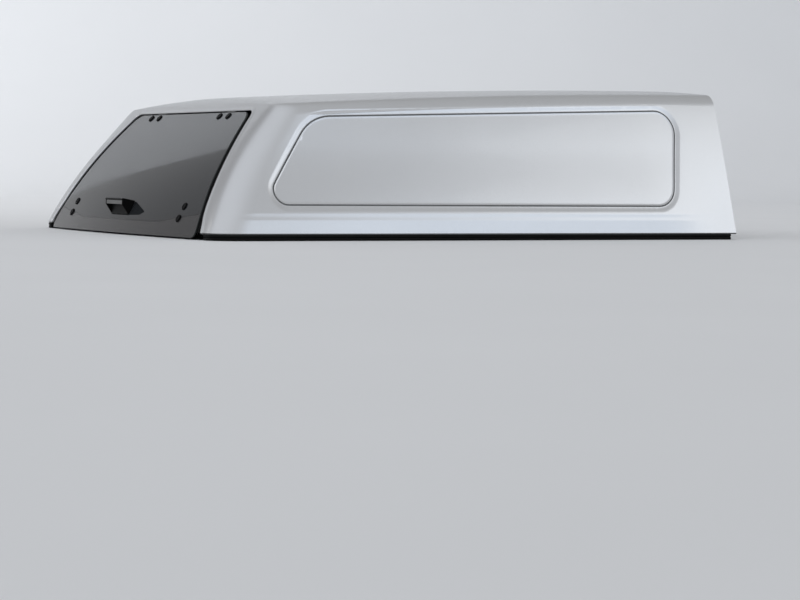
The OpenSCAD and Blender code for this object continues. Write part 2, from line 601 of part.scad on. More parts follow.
// Handle: a hood on the glass, open below, with a paddle hung in its mouth.
// Its profile is drawn in the local frame, [up the glass, out from the glass].
hood_wall = 4;
hood_half = handle_width / 2;
hood_profile = [[0, 0.8], [handle_height, 0.8], [handle_height - 13, handle_reach], [20, handle_reach - 8]];
paddle_pivot = [handle_height - 18, handle_reach - 7];
paddle_r = 3.2;
trunnion_r = 2.2;
module along_handle(half) on_glass(0, handle_foot) rotate([90, 0, 90]) translate([0, 0, -half])
    linear_extrude(2 * half) children();
module handle_base() color(dark) difference() {
    along_handle(hood_half) polygon(hood_profile);
    along_handle(hood_half - hood_wall) polygon([[-8, 5], [handle_height - 5, 5],
        [paddle_pivot[0] + 4, handle_reach - 10], [paddle_pivot[0] + 4, handle_reach + 6], [0, handle_reach + 6]]);
    along_handle(hood_half - 1) translate(paddle_pivot) circle(trunnion_r + 0.05);
}
module handle_lever() color(grey) {
    along_handle(hood_half - hood_wall - 1) union() {
        translate(paddle_pivot) circle(paddle_r);
        polygon([paddle_pivot + [0, paddle_r], paddle_pivot - [0, 0.5],
            paddle_pivot + [-11.5, -5.8], paddle_pivot + [-13, -2]]);
    }
    along_handle(hood_half - 1.2) translate(paddle_pivot) circle(trunnion_r);
}

roof_skin();
side_skin();  // right_side_skin
mirror([1, 0, 0]) side_skin();  // left_side_skin
rear_header_skin();
pillar_skin();  // right_pillar_skin
mirror([1, 0, 0]) pillar_skin();  // left_pillar_skin
roof_liner();
side_liner();  // right_side_liner
mirror([1, 0, 0]) side_liner();  // left_side_liner
header_beam();
jamb();  // right_jamb
mirror([1, 0, 0]) jamb();  // left_jamb
front_wall_skin();
front_window_gasket();
front_window_glass();
blank_panel();  // right_blank_panel
mirror([1, 0, 0]) blank_panel();  // left_blank_panel
panel_seal();  // right_panel_seal
mirror([1, 0, 0]) panel_seal();  // left_panel_seal
side_rail();  // right_base_rail
mirror([1, 0, 0]) side_rail();  // left_base_rail
front_base_rail();
side_base_seal();  // right_base_seal
mirror([1, 0, 0]) side_base_seal();  // left_base_seal
front_base_seal();
hatch_seal();
hatch_glass();
hatch_trim();
hatch_bolt_caps();
hinge_leaves();
hinge_bases();
strut_mount();  // right_strut_mount
mirror([1, 0, 0]) strut_mount();  // left_strut_mount
latch_strikers();
strut_studs();
latches();
strut_cylinder();  // right_strut_cylinder
mirror([1, 0, 0]) strut_cylinder();  // left_strut_cylinder
strut_rod();  // right_strut_rod
mirror([1, 0, 0]) strut_rod();  // left_strut_rod
handle_base();
handle_lever();
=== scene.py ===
import json
import math

import bpy
import numpy as np
from mathutils import Matrix, Vector
from mathutils.geometry import delaunay_2d_cdt


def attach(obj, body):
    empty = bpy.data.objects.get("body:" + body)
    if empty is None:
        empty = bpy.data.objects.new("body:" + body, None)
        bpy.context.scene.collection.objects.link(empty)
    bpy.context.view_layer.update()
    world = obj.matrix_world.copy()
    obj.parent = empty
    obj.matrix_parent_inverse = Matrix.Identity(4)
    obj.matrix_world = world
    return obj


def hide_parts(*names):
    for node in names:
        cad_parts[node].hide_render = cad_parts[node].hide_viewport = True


# A hardtop canopy for a pickup bed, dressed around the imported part.
# The frame is the part's own: metres, +X to the right, +Y to the cab, +Z up.

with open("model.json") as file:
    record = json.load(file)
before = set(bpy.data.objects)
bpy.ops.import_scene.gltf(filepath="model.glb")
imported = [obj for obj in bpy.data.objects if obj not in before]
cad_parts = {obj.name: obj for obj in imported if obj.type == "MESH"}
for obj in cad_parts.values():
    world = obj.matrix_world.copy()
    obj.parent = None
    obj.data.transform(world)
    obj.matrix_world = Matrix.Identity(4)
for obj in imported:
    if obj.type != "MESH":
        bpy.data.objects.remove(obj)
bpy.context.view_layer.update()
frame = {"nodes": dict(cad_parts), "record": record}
nodes = frame["nodes"]
print("frame loaded,", len(nodes), "nodes")

body = {
    "length": 1.884, "halfWidth": 0.805, "crown": 0.500, "camber": 0.026, "camberHalf": 0.640,
    "fall": 0.010, "arch": 0.018, "lean": 0.318, "sideCurl": 0.15, "shoulder": 0.036,
    "beltHeight": 0.050, "beltBulge": 0.010, "beltDrop": 0.8, "beltReach": 0.220,
    "beltFadeStart": 0.320, "beltFadeEnd": 0.040, "creaseDeep": 0.0013, "creaseWide": 0.011,
    "rearTuck": 0.038, "tuckLength": 1.0, "tuckFoot": 0.3, "tuckHeight": 0.450,
    "pillar": 0.100, "header": 0.054, "baseZ": 0.022, "frontY": 0.018, "skin": 0.004,
    "lipDepth": 0.014, "lipRound": 0.0052, "lipWall": 0.002, "lipWallBeside": 0.006,
    "lipWallAbove": 0.012, "lipWallBehind": 0.024,
}
glass = {
    "inset": 0.028, "half": 0.656, "sideLean": 0.3, "sideCurl": 0.36, "bottom": 0.005, "top": 0.388123,
    "bow": 0.018, "topBow": 0.002, "bowHalf": 0.600, "slope": 0.42, "curl": 0.64, "thick": 0.005,
    "corner": 0.026, "leastCorner": 0.004, "cornerStart": 23, "footCorner": 0.022, "chamfer": 0.0009,
    "gapSide": 0.022, "gapTop": 0.009, "flare": 0.014, "round": 0.038, "rise": 0.0035,
    "narrow": 0.009, "narrowFrom": 0.04, "narrowTo": 0.18, "middle": 0.2,
}
panel = {
    "bottom": 0.110, "top": 0.4169, "rearTop": 0.3740, "length": 1.440, "setback": 0.229,
    "frontLean": 0.067, "rearLean": 0.192, "rearFoot": 0.003, "radii": (0.039, 0.070, 0.062, 0.130),
    "groove": 0.005, "inset": 0.0046, "edgeRise": 0.0013, "edgeWide": 0.0042,
    "dip": 0.0036, "dipWidth": 0.019,
}
rearY = body["frontY"] - body["length"]
rowsSide, rowsRound, rowsAll = 10, 15, 22


def ease(a, b, v):
    t = min(1.0, max(0.0, (v - a) / (b - a)))
    return t * t * (3 - 2 * t)


def mixed(a, b, t):
    return tuple(p + (q - p) * t for p, q in zip(a, b))


def curved(a, b, c, t):
    return tuple((1 - t) ** 2 * p + 2 * t * (1 - t) * q + t * t * r for p, q, r in zip(a, b, c))


# the outer surface, from the same sizes as the part
def crownAt(y):
    back = body["frontY"] - y
    return body["crown"] - body["fall"] * back - body["arch"] * back * back


def roofZ(x, y):
    return crownAt(y) - body["camber"] * (x / body["camberHalf"]) ** 2


def beltAt(h, y):
    # the belt stands out, and a fine crease runs along its top
    high = body["beltHeight"]
    share = 1 - ease(body["frontY"] - body["beltFadeStart"], body["frontY"] - body["beltFadeEnd"], y)
    crease = body["creaseDeep"] * (1 - ease(0, body["creaseWide"], abs(h - high)))
    if h < high:
        return share * (body["beltBulge"] * h / high - crease)
    kept = 1 - body["beltDrop"] * ease(high, high + body["beltReach"], h)
    return share * (body["beltBulge"] * kept - crease)


def sideX(z, y):
    h = z - body["baseZ"]
    least = body["tuckFoot"]
    narrow = least + (1 - least) * math.sin(math.pi * min(1.0, h / body["tuckHeight"]))
    back = max(0.0, (rearY + body["tuckLength"] - y) / body["tuckLength"])
    return (body["halfWidth"] - body["lean"] * h - body["sideCurl"] * h ** 3 + beltAt(h, y)
            - body["rearTuck"] * narrow * back ** 2)


def rearLean(z):
    return math.atan(glass["slope"] + 2 * glass["curl"] * z)


def rearFace(x, z):
    bow = glass["bow"] + (glass["topBow"] - glass["bow"]) * z / glass["top"]
    lean = glass["slope"] * z + glass["curl"] * z * z
    return rearY + glass["inset"] + lean - bow * (1 - (x / glass["bowHalf"]) ** 2)


def belowFace(x, z, depth):
    return (x, rearFace(x, z) + depth / math.cos(rearLean(z)), z)


def glassHalfAt(z):
    return glass["half"] - glass["sideLean"] * z - glass["sideCurl"] * z * z


leanScale = math.cos(rearLean(glass["top"]))


def shoulderZ(y):
    z = crownAt(y) - body["camber"]
    for _ in range(4):
        z = roofZ(sideX(z, y), y)
    return z


def sideRowZ(i, top):
    belt = body["baseZ"] + body["beltHeight"]
    if i <= 2:
        return body["baseZ"] + body["beltHeight"] * i / 2
    return belt + (top - belt) * (i - 2) / (rowsSide - 2)


def archPoint(i, y):
    kneeZ = shoulderZ(y)
    kneeX = sideX(kneeZ, y)
    low = kneeZ - body["shoulder"]
    inner = kneeX - body["shoulder"]
    if i <= rowsSide:
        z = sideRowZ(i, low)
        return (sideX(z, y), y, z)
    if i <= rowsRound:
        t = (i - rowsSide) / (rowsRound - rowsSide)
        return curved((sideX(low, y), y, low), (kneeX, y, kneeZ), (inner, y, roofZ(inner, y)), t)
    x = inner * (rowsAll - i) / (rowsAll - rowsRound)
    return (x, y, roofZ(x, y))


def rimPoint(i, sideGrow, topGrow, depth):
    # the doorway's rim, grown from the edge of the glass
    top = glass["top"] + topGrow * leanScale
    radius = max(glass["leastCorner"], glass["corner"] + sideGrow)
    high = radius * leanScale
    start = math.radians(glass["cornerStart"])
    turnZ = top - high * (1 - math.sin(start))
    turnX = glassHalfAt(turnZ) + sideGrow - radius * math.cos(start)
    if i <= rowsSide:
        share = (sideRowZ(i, glass["top"]) - body["baseZ"]) / (glass["top"] - body["baseZ"])
        z = body["baseZ"] + (turnZ - body["baseZ"]) * share
        x = glassHalfAt(z) + sideGrow
    elif i <= rowsRound:
        a = start + (math.pi / 2 - start) * (i - rowsSide) / (rowsRound - rowsSide)
        x, z = turnX + radius * math.cos(a), top - high + high * math.sin(a)
    else:
        x, z = turnX * (rowsAll - i) / (rowsAll - rowsRound), top
    return belowFace(x, z, depth)


# the doorway's lip: its wall, a low bead that catches the light, and the face beside it
lipSteps = [
    (0, 1), (0, 0.5), (0, 0.2), (0.1, 0.06), (0.35, -0.07), (0.75, -0.15), (1.2, -0.18), (1.8, -0.14),
    (2.4, -0.06), (2.9, -0.015), (3.4, 0),
]
faceSteps, cornerSteps, longSteps = 5, 14, 30
cornerColumn = len(lipSteps) + faceSteps + cornerSteps - 1


def surfaceLine(i):
    y = rearY + 0.2
    for _ in range(6):
        p = archPoint(i, y)
        y = rearFace(p[0], p[2])
    knee = archPoint(i, y)
    size = body["pillar"] + (body["header"] - body["pillar"]) * ease(rowsSide - 2, rowsRound + 1, i)
    flare = glass["gapSide"] + glass["flare"] * (1 - ease(0, 3, i))
    line = []
    for grow, depth in lipSteps:
        g = grow * body["lipRound"]
        line.append(rimPoint(i, flare + g, glass["gapTop"] + g, depth * body["lipDepth"]))
    edge = line[-1]
    reach = math.dist(edge, knee)
    start = mixed(knee, edge, min(size, reach * 0.8) / reach)
    line += [mixed(edge, start, k / faceSteps) for k in range(1, faceSteps + 1)]
    end = y + size
    line += [curved(start, knee, archPoint(i, end), k / cornerSteps) for k in range(1, cornerSteps + 1)]
    line += [archPoint(i, end + (body["frontY"] - end) * k / longSteps) for k in range(1, longSteps + 1)]
    return line


# the rows from the base to the middle of the roof, close together at the crease
rowList = [0, 0.5, 1, 1.5, 1.65, 1.8, 1.92, 2, 2.05, 2.12, 2.2, 2.3, 2.45]
rowList += [2.75 + 0.25 * k for k in range(30)]
rowList += [rowsSide + 0.25 * k for k in range(1, 21)]
rowList += [rowsRound + 0.5 * k for k in range(1, 15)]
sideRows = rowList.index(rowsSide) + 1
halfGrid = [surfaceLine(i) for i in rowList]
grid = np.array(halfGrid + [[(-x, y, z) for x, y, z in line] for line in halfGrid[-2::-1]])
rowCount, columnCount = grid.shape[:2]


def gridNormals(points):
    up = np.empty_like(points)
    up[1:-1] = points[2:] - points[:-2]
    up[0], up[-1] = points[1] - points[0], points[-1] - points[-2]
    along = np.empty_like(points)
    along[:, 1:-1] = points[:, 2:] - points[:, :-2]
    along[:, 0], along[:, -1] = points[:, 1] - points[:, 0], points[:, -1] - points[:, -2]
    n = np.cross(along, up)
    return n / np.linalg.norm(n, axis=2, keepdims=True)


normalGrid = gridNormals(grid)
print("surface worked out,", rowCount, "rows by", columnCount, "columns")


# a mesh put together from patches, each vertex with its own normal
class Patchwork:
    def __init__(self):
        self.points, self.normals, self.faces, self.found = [], [], [], {}

    def vertex(self, point, normal):
        key = tuple(round(c, 5) for c in point)
        if key not in self.found:
            self.found[key] = len(self.points)
            self.points.append(Vector(point))
            self.normals.append(Vector(normal))
        return self.found[key]

    def face(self, corners):
        kept = []
        for c in corners:
            if c not in kept:
                kept.append(c)
        if len(kept) > 2:
            self.faces.append(kept)

    def grid(self, points, normals):
        index = [[self.vertex(p, n) for p, n in zip(ps, ns)] for ps, ns in zip(points, normals)]
        for a, b in zip(index, index[1:]):
            for j in range(len(a) - 1):
                self.face([a[j], a[j + 1], b[j + 1], b[j]])

    def build(self, name, thickness):
        # the outer layer, an inner layer, and a strip that closes every open edge
        points, faces, loopNormals = list(self.points), [], []
        inner = len(points)
        points += [p - n * thickness(p) for p, n in zip(self.points, self.normals)]
        edges = {}
        for f in self.faces:
            faces.append(f)
            loopNormals += [self.normals[c] for c in f]
            for a, b in zip(f, f[1:] + f[:1]):
                edges[(a, b)] = edges.get((a, b), 0) + 1
        for f in self.faces:
            faces.append([c + inner for c in reversed(f)])
            loopNormals += [-self.normals[c] for c in reversed(f)]
        for a, b in edges:
            if (b, a) not in edges:
                faces.append([b, a, a + inner, b + inner])
                n = (points[a] - points[b]).cross(points[a + inner] - points[b]).normalized()
                loopNormals += [n] * 4
        return meshPiece(name, points, faces, loopNormals)


def meshPiece(name, points, faces, loopNormals=None):
    mesh = bpy.data.meshes.new(name)
    mesh.from_pydata(points, [], faces)
    mesh.update()
    for polygon in mesh.polygons:
        polygon.use_smooth = True
    if loopNormals:
        mesh.normals_split_custom_set(loopNormals)
    piece = bpy.data.objects.new(name, mesh)
    bpy.context.scene.collection.objects.link(piece)
    return piece


# the outline of the blank side panel in the side view, with rounded corners
panelFront = body["frontY"] - panel["setback"]
panelRear = panelFront - panel["length"]
panelCorners = [
    (panelRear + panel["rearFoot"], panel["bottom"]), (panelFront, panel["bottom"]),
    (panelFront + panel["frontLean"], panel["top"]), (panelRear + panel["rearLean"], panel["rearTop"]),
]
arcSteps, edgeLength = 14, 0.020


def panelLoop(grow):
    loop = []
    count = len(panelCorners)
    for k in range(count):
        here = Vector(panelCorners[k])
        before = (Vector(panelCorners[k - 1]) - here).normalized()
        after = (Vector(panelCorners[(k + 1) % count]) - here).normalized()
        radius = panel["radii"][k]
        half = math.acos(before.dot(after)) / 2
        middle = (before + after).normalized()
        centre = here + middle * (radius / math.sin(half))
        start = math.atan2(-middle.y, -middle.x) - (math.pi / 2 - half)
        for s in range(arcSteps + 1):
            a = start + 2 * (math.pi / 2 - half) * s / arcSteps
            loop.append(centre + (radius + grow) * Vector((math.cos(a), math.sin(a))))
    return loop


def loopSteps():
    # how many pieces each edge of the outline is cut into, the same for every ring
    loop = panelLoop(0)
    return [max(1, round((b - a).length / edgeLength)) for a, b in zip(loop, loop[1:] + loop[:1])]


edgeSteps = loopSteps()


def panelRing(grow):
    loop = panelLoop(grow)
    ring = []
    for a, b, n in zip(loop, loop[1:] + loop[:1], edgeSteps):
        ring += [a.lerp(b, k / n) for k in range(n)]
    return ring


fineRing = np.array([tuple(p) for p in panelRing(0)])


def outlineDistance(points):
    # distance from the panel's outline, below zero inside it
    points = np.atleast_2d(np.asarray(points, float))
    a, b = fineRing, np.roll(fineRing, -1, axis=0)
    ab = b - a
    ap = points[:, None, :] - a[None]
    t = np.clip((ap * ab).sum(2) / (ab * ab).sum(1), 0, 1)
    gap = np.linalg.norm(ap - ab * t[..., None], axis=2).min(1)
    inside = (ab[:, 0] * ap[..., 1] - ab[:, 1] * ap[..., 0] > 0).all(1)
    return np.where(inside, -gap, gap)


def skinDepth(d):
    # the skin dips towards the groove
    return panel["dip"] * (1 - ease(panel["groove"], panel["groove"] + panel["dipWidth"], d))


def panelDepth(d):
    # the panel lies a little below the skin, and its edge rises towards the groove like the skin's
    return panel["inset"] - panel["edgeRise"] * ease(-panel["edgeWide"], 0, d)


# how a sheet on the side is filled with points, in the side view
lattice = {"step": 0.024, "rowShare": 0.866, "rows": 20, "foot": 0.094, "probe": 0.0015}


def sideSheet(target, boundary, rings, keep, depth):
    # a sheet on the side's surface through the given points, with a lattice of points where keep allows
    flat = [tuple(p) for p in boundary]
    for ring in rings:
        flat += [tuple(p) for p in ring]
    ends = len(flat)
    step = lattice["step"]
    low = body["baseZ"] + lattice["foot"]
    for k in range(int(body["length"] / step) + 2):
        for m in range(lattice["rows"]):
            flat.append((rearY + (k + 0.5 * (m % 2)) * step, low + m * step * lattice["rowShare"]))
    spread = outlineDistance(flat)
    flat = [p for k, p in enumerate(flat) if k < ends or keep(p, spread[k], True)]
    found = delaunay_2d_cdt([Vector(p) for p in flat], [], [], 0, 1e-6)
    places = [tuple(p) for p in found[0]]
    gaps = outlineDistance(places)
    step = lattice["probe"]
    shifts = ((step, 0), (-step, 0), (0, step), (0, -step))
    around = [outlineDistance([(y + a, z + b) for y, z in places]) for a, b in shifts]
    index = []
    for k, (y, z) in enumerate(places):
        ahead = sideX(z, y + step) - depth(around[0][k]) - sideX(z, y - step) + depth(around[1][k])
        above = sideX(z + step, y) - depth(around[2][k]) - sideX(z - step, y) + depth(around[3][k])
        normal = Vector((2 * step, -ahead, -above)).normalized()
        index.append(target.vertex((sideX(z, y) - depth(gaps[k]), y, z), normal))
    for f in found[2]:
        middle = np.mean([places[c] for c in f], axis=0)
        if keep(middle, outlineDistance([middle])[0], False):
            (ay, az), (by, bz), (cy, cz) = [places[c] for c in f]
            turn = (by - ay) * (cz - az) - (bz - az) * (cy - ay)
            target.face([index[c] for c in (f if turn > 0 else reversed(f))])


def mirroredCopy(source):
    made = Patchwork()
    for p, n in zip(source.points, source.normals):
        made.vertex((-p.x, p.y, p.z), (-n.x, n.y, n.z))
    made.faces = [list(reversed(f)) for f in source.faces]
    return made


def joined(target, source):
    index = [target.vertex(p, n) for p, n in zip(source.points, source.normals)]
    for f in source.faces:
        target.face([index[c] for c in f])


# the skin beside the panel: its rear, top and front edges meet the other patches
rearEdge = [(p[1], p[2]) for p in grid[:sideRows, cornerColumn]]
topEdge = [(p[1], p[2]) for p in grid[sideRows - 1, cornerColumn:]]
frontEdge = [(p[1], p[2]) for p in grid[:sideRows, -1]]
bottomEdge = [(p[1], p[2]) for p in grid[0, cornerColumn:]]
beltHeights = (0.012, 0.026, 0.037, 0.043, 0.047, 0.050, 0.053, 0.057, 0.063, 0.072, 0.082)
beltSteps, beltMargin, skinMargin = 260, 0.004, 0.010
beltLines = []
for h in beltHeights:
    start = np.interp(body["baseZ"] + h, [p[1] for p in rearEdge], [p[0] for p in rearEdge])
    reach = body["frontY"] - beltMargin - start
    line = [(start + beltMargin + reach * k / beltSteps, body["baseZ"] + h) for k in range(beltSteps)]
    beltLines.append(line)
dipRings = [panelRing(panel["groove"] + panel["dipWidth"] * k / 7) for k in range(8)]
latticeGap = 0.012
outerLimit = panel["groove"] + panel["dipWidth"] + latticeGap


def keepSkin(place, gap, isPoint):
    if not isPoint:
        return gap > panel["groove"] - 1e-4
    rear = np.interp(place[1], [p[1] for p in rearEdge], [p[0] for p in rearEdge])
    top = np.interp(place[0], [p[0] for p in topEdge], [p[1] for p in topEdge])
    front = body["frontY"] - skinMargin
    return gap > outerLimit and rear + skinMargin < place[0] < front and place[1] < top - skinMargin


rightSkin = Patchwork()
sideSheet(rightSkin, rearEdge + topEdge + frontEdge + bottomEdge, dipRings + beltLines, keepSkin, skinDepth)
print("side skin meshed,", len(rightSkin.faces), "faces")

shell = Patchwork()
shell.grid(grid[:sideRows, : cornerColumn + 1], normalGrid[:sideRows, : cornerColumn + 1])
shell.grid(grid[-sideRows:, : cornerColumn + 1], normalGrid[-sideRows:, : cornerColumn + 1])
shell.grid(grid[sideRows - 1 : rowCount - sideRows + 1], normalGrid[sideRows - 1 : rowCount - sideRows + 1])
joined(shell, rightSkin)
joined(shell, mirroredCopy(rightSkin))


def wallAt(p):
    # the wall is thinner behind the doorway's lip, whose rounding is tighter than the wall
    behind = p.y - rearFace(p.x, p.z)
    beside = glassHalfAt(p.z) + glass["gapSide"] + glass["flare"] + body["lipWallBeside"]
    nearRim = abs(p.x) < beside and p.z < glass["top"] + body["lipWallAbove"]
    return body["lipWall"] if nearRim and behind < body["lipWallBehind"] else body["skin"]


paintedShell = shell.build("paintedShell", wallAt)
print("painted shell built,", len(paintedShell.data.polygons), "faces")


# the blank panel: a rising edge and a lattice of points inside it
def keepPanel(place, gap, isPoint):
    return gap < -latticeGap if isPoint else gap < 1e-4


rightPanel = Patchwork()
panelRings = [panelRing(d) for d in (0, -0.0006, -0.0012, -0.002, -0.003, -0.005, -0.009)]
sideSheet(rightPanel, [], panelRings, keepPanel, panelDepth)
panels = {}
for side, patch in (("right", rightPanel), ("left", mirroredCopy(rightPanel))):
    panels[side] = patch.build(side + "BlankPanel", lambda p: body["skin"])

# the seal in the groove round the panel, as distances out from the outline and depths below the skin
sealSection = [
    (0.0001, 0.0080), (0.0004, 0.0062), (0.0016, 0.0055), (0.0034, 0.0055), (0.0047, 0.0062),
    (0.0049, 0.0080),
]


def ringFaces(first, second, count, flipped=False):
    # the quads between two closed rings of points that start at these numbers
    faces = []
    for a in range(count):
        b = (a + 1) % count
        corners = [first + a, first + b, second + b, second + a]
        faces.append(corners[::-1] if flipped else corners)
    return faces


def panelSeal(name, sign):
    points, faces = [], []
    for d, depth in sealSection:
        points += [(sign * (sideX(z, y) - depth), y, z) for y, z in panelRing(d)]
    count = len(fineRing)
    for k in range(len(sealSection)):
        m = (k + 1) % len(sealSection)
        faces += ringFaces(k * count, m * count, count, sign < 0)
    return meshPiece(name, points, faces)


seals = {"right": panelSeal("rightPanelSeal", 1), "left": panelSeal("leftPanelSeal", -1)}
print("panels and their seals built")

# the hatch glass, bowed like the part's, with a polished edge all round
foot, top = glass["bottom"], glass["top"] + glass["rise"]


def cornerCut(radius, along):
    return radius - math.sqrt(max(0.0, radius ** 2 - (radius - along) ** 2)) if along < radius else 0.0


def glassEdgeAt(z):
    # above its foot the glass is a little narrower, which leaves a wide dark gap beside it
    half = glassHalfAt(z) - glass["narrow"] * ease(glass["narrowFrom"], glass["narrowTo"], z)
    return half - cornerCut(glass["round"], (top - z) / leanScale) - cornerCut(glass["footCorner"], z - foot)


# the heights of the glass's rows, close together in its rounded corners
cornerShares = (0, 0.02, 0.06, 0.13, 0.24, 0.4, 0.6, 0.8)
cornerHigh = glass["round"] * leanScale
straightFoot = foot + glass["footCorner"]
straightHigh = top - foot - glass["footCorner"] - cornerHigh
straightRows, glassColumns = 26, 44
levels = [foot + glass["footCorner"] * t for t in cornerShares]
levels += [straightFoot + straightHigh * k / straightRows for k in range(straightRows + 1)]
levels += [top - cornerHigh * t for t in reversed(cornerShares)]


def glassLayer(depth, inset):
    layer = []
    for z in levels:
        zIn = min(max(z, foot + inset), top - inset)
        half = glassEdgeAt(z) - inset
        across = [half * (1 - 2 * k / glassColumns) for k in range(glassColumns + 1)]
        layer.append([belowFace(x, zIn, depth) for x in across])
    return layer


def rimOf(layer):
    # the outline of a layer, once round
    rim = list(layer[0]) + [row[-1] for row in layer[1:-1]] + list(reversed(layer[-1]))
    return rim + [row[0] for row in reversed(layer[1:-1])]


def bowNormal(x, z):
    # square out from the glass's outer face
    step = 0.001
    n = Vector((-(rearFace(x + step, z) - rearFace(x - step, z)) / (2 * step), 1,
                -(rearFace(x, z + step) - rearFace(x, z - step)) / (2 * step)))
    return -n.normalized()


def glassPiece():
    # two bowed faces in the first material slot and a chamfered edge between them in the second
    cut, thick = glass["chamfer"], glass["thick"]
    outer, inner = glassLayer(0, cut), glassLayer(thick, cut)
    points, faces, loopNormals, slots = [], [], [], []
    for layer, sign in ((outer, 1), (inner, -1)):
        base = len(points)
        points += [Vector(p) for row in layer for p in row]
        width = glassColumns + 1
        for r in range(len(levels) - 1):
            for k in range(glassColumns):
                a = base + r * width + k
                corners = [a, a + width, a + width + 1, a + 1]
                corners = corners if sign > 0 else corners[::-1]
                faces.append(corners)
                loopNormals += [bowNormal(points[c].x, points[c].z) * sign for c in corners]
                slots.append(0)
    rims = [rimOf(outer), rimOf(glassLayer(cut, 0)), rimOf(glassLayer(thick - cut, 0)), rimOf(inner)]
    start = len(points)
    count = len(rims[0])
    for rim in rims:
        points += [Vector(p) for p in rim]
    for ring in range(3):
        for k in range(count):
            a, b = start + ring * count + k, start + ring * count + (k + 1) % count
            corners = [a, a + count, b + count, b]
            n = (points[b] - points[a]).cross(points[a + count] - points[a])
            if n.length < 1e-12:
                continue
            n = -n.normalized()
            out = points[a] - Vector(belowFace(0, glass["middle"], thick / 2))
            if n.dot(out) < 0:
                n, corners = -n, corners[::-1]
            faces.append(corners)
            loopNormals += [n] * 4
            slots.append(1)
    piece = meshPiece("hatchGlass", points, faces, loopNormals)
    for polygon, index in zip(piece.data.polygons, slots):
        polygon.material_index = index
    return piece


hatchGlass = glassPiece()
print("hatch glass built")


# the rubber seal between the base rails and the bed, with two lobes on its outer side
# as distances in from the edge of the painted side and heights
sealProfile = [
    (0.0044, 0.0000), (0.0026, 0.0006), (0.0017, 0.0024), (0.0014, 0.0045), (0.0018, 0.0066),
    (0.0034, 0.0083), (0.0054, 0.0090), (0.0034, 0.0096), (0.0016, 0.0110), (0.0009, 0.0132),
    (0.0011, 0.0155), (0.0024, 0.0173), (0.0040, 0.0180), (0.0320, 0.0180), (0.0320, 0.0000),
]


def edgePath(spacing=0.02):
    # the bottom edge of the painted side, from the rear corner to the front
    line = [Vector(p[:2]) for p in grid[0, len(lipSteps) - 1:]]
    path = [line[0]]
    for a, b in zip(line, line[1:]):
        n = max(1, round((b - a).length / spacing))
        path += [a.lerp(b, k / n) for k in range(1, n + 1)]
    return path


def sideSeal(name, sign):
    frontGap = 0.003
    path = [p for p in edgePath() if p.y < body["frontY"] - frontGap]
    points, faces = [], []
    n = len(sealProfile)
    for k, p in enumerate(path):
        ahead = (path[min(k + 1, len(path) - 1)] - path[max(k - 1, 0)]).normalized()
        inward = Vector((-ahead.y, ahead.x))
        for deep, z in sealProfile:
            q = p + inward * deep
            points.append(Vector((sign * q.x, q.y, z)))
    for k in range(len(path) - 1):
        for m in range(n):
            a, b = k * n + m, k * n + (m + 1) % n
            corners = [a, a + n, b + n, b]
            faces.append(corners if sign > 0 else corners[::-1])
    for base, flip in ((0, sign < 0), ((len(path) - 1) * n, sign > 0)):
        cap = [base + m for m in range(n)]
        faces.append(cap[::-1] if flip else cap)
    return meshPiece(name, points, faces)


rightBaseSeal, leftBaseSeal = sideSeal("rightBaseSeal", 1), sideSeal("leftBaseSeal", -1)


# round caps over the bolts of the hatch
caps = {
    "radius": 0.0125, "height": 0.004, "steps": 40, "hingeX": 0.300, "spacing": 0.072, "drop": 0.009,
    "low": [(0.491, 0.097), (0.490, 0.060)],
}


def onGlass(x, z):
    # a frame on the glass: x along the hatch, y up the glass, z square out to the rear
    out = bowNormal(x, z)
    up = Vector((0, math.sin(rearLean(z)), math.cos(rearLean(z))))
    side = up.cross(out).normalized()
    up = out.cross(side)
    place = Matrix((side, up, out)).transposed().to_4x4()
    place.translation = Vector(belowFace(x, z, 0))
    return place


def turned(profile, place, steps, points, faces):
    # a profile of (radius, height) turned about the z axis of a frame
    base = len(points)
    for radius, height in profile:
        for k in range(steps):
            a = 2 * math.pi * k / steps
            points.append(place @ Vector((radius * math.cos(a), radius * math.sin(a), height)))
    for r in range(len(profile) - 1):
        faces += ringFaces(base + r * steps, base + (r + 1) * steps, steps)
    faces.append([base + k for k in reversed(range(steps))])
    faces.append([base + (len(profile) - 1) * steps + k for k in range(steps)])


def boltCaps():
    points, faces = [], []
    spots = [(caps["hingeX"] + s * caps["spacing"] / 2, glass["top"] - caps["drop"]) for s in (-1, 1)]
    r, h = caps["radius"], caps["height"]
    profile = [
        (r - 0.0006, 0.0003), (r, 0.0008), (r, h - 0.0018), (r - 0.0005, h - 0.0009),
        (r - 0.0014, h - 0.0003), (r - 0.0028, h), (r - 0.0048, h), (r - 0.0054, h - 0.0006),
        (r - 0.0060, h - 0.0008), (0.0012, h - 0.0004),
    ]
    for sign in (1, -1):
        for x, z in spots + caps["low"]:
            turned(profile, onGlass(sign * x, z), caps["steps"], points, faces)
    return meshPiece("boltCaps", points, faces)


boltCapsPiece = boltCaps()
print("seals and bolt caps built")


# the handle: a hood on the glass and the paddle hung in its mouth
handle = {
    "half": 0.077, "foot": 0.062, "height": 0.051, "reach": 0.044, "hoodRound": 0.0016,
    "cheekHalf": 0.0021, "cheekInset": 0.0022, "cheekRound": 0.0012,
    "paddleHalf": 0.0722, "paddleRound": 0.0009, "pivotUp": 0.033, "pivotOut": 0.037, "roundAbove": 20,
}


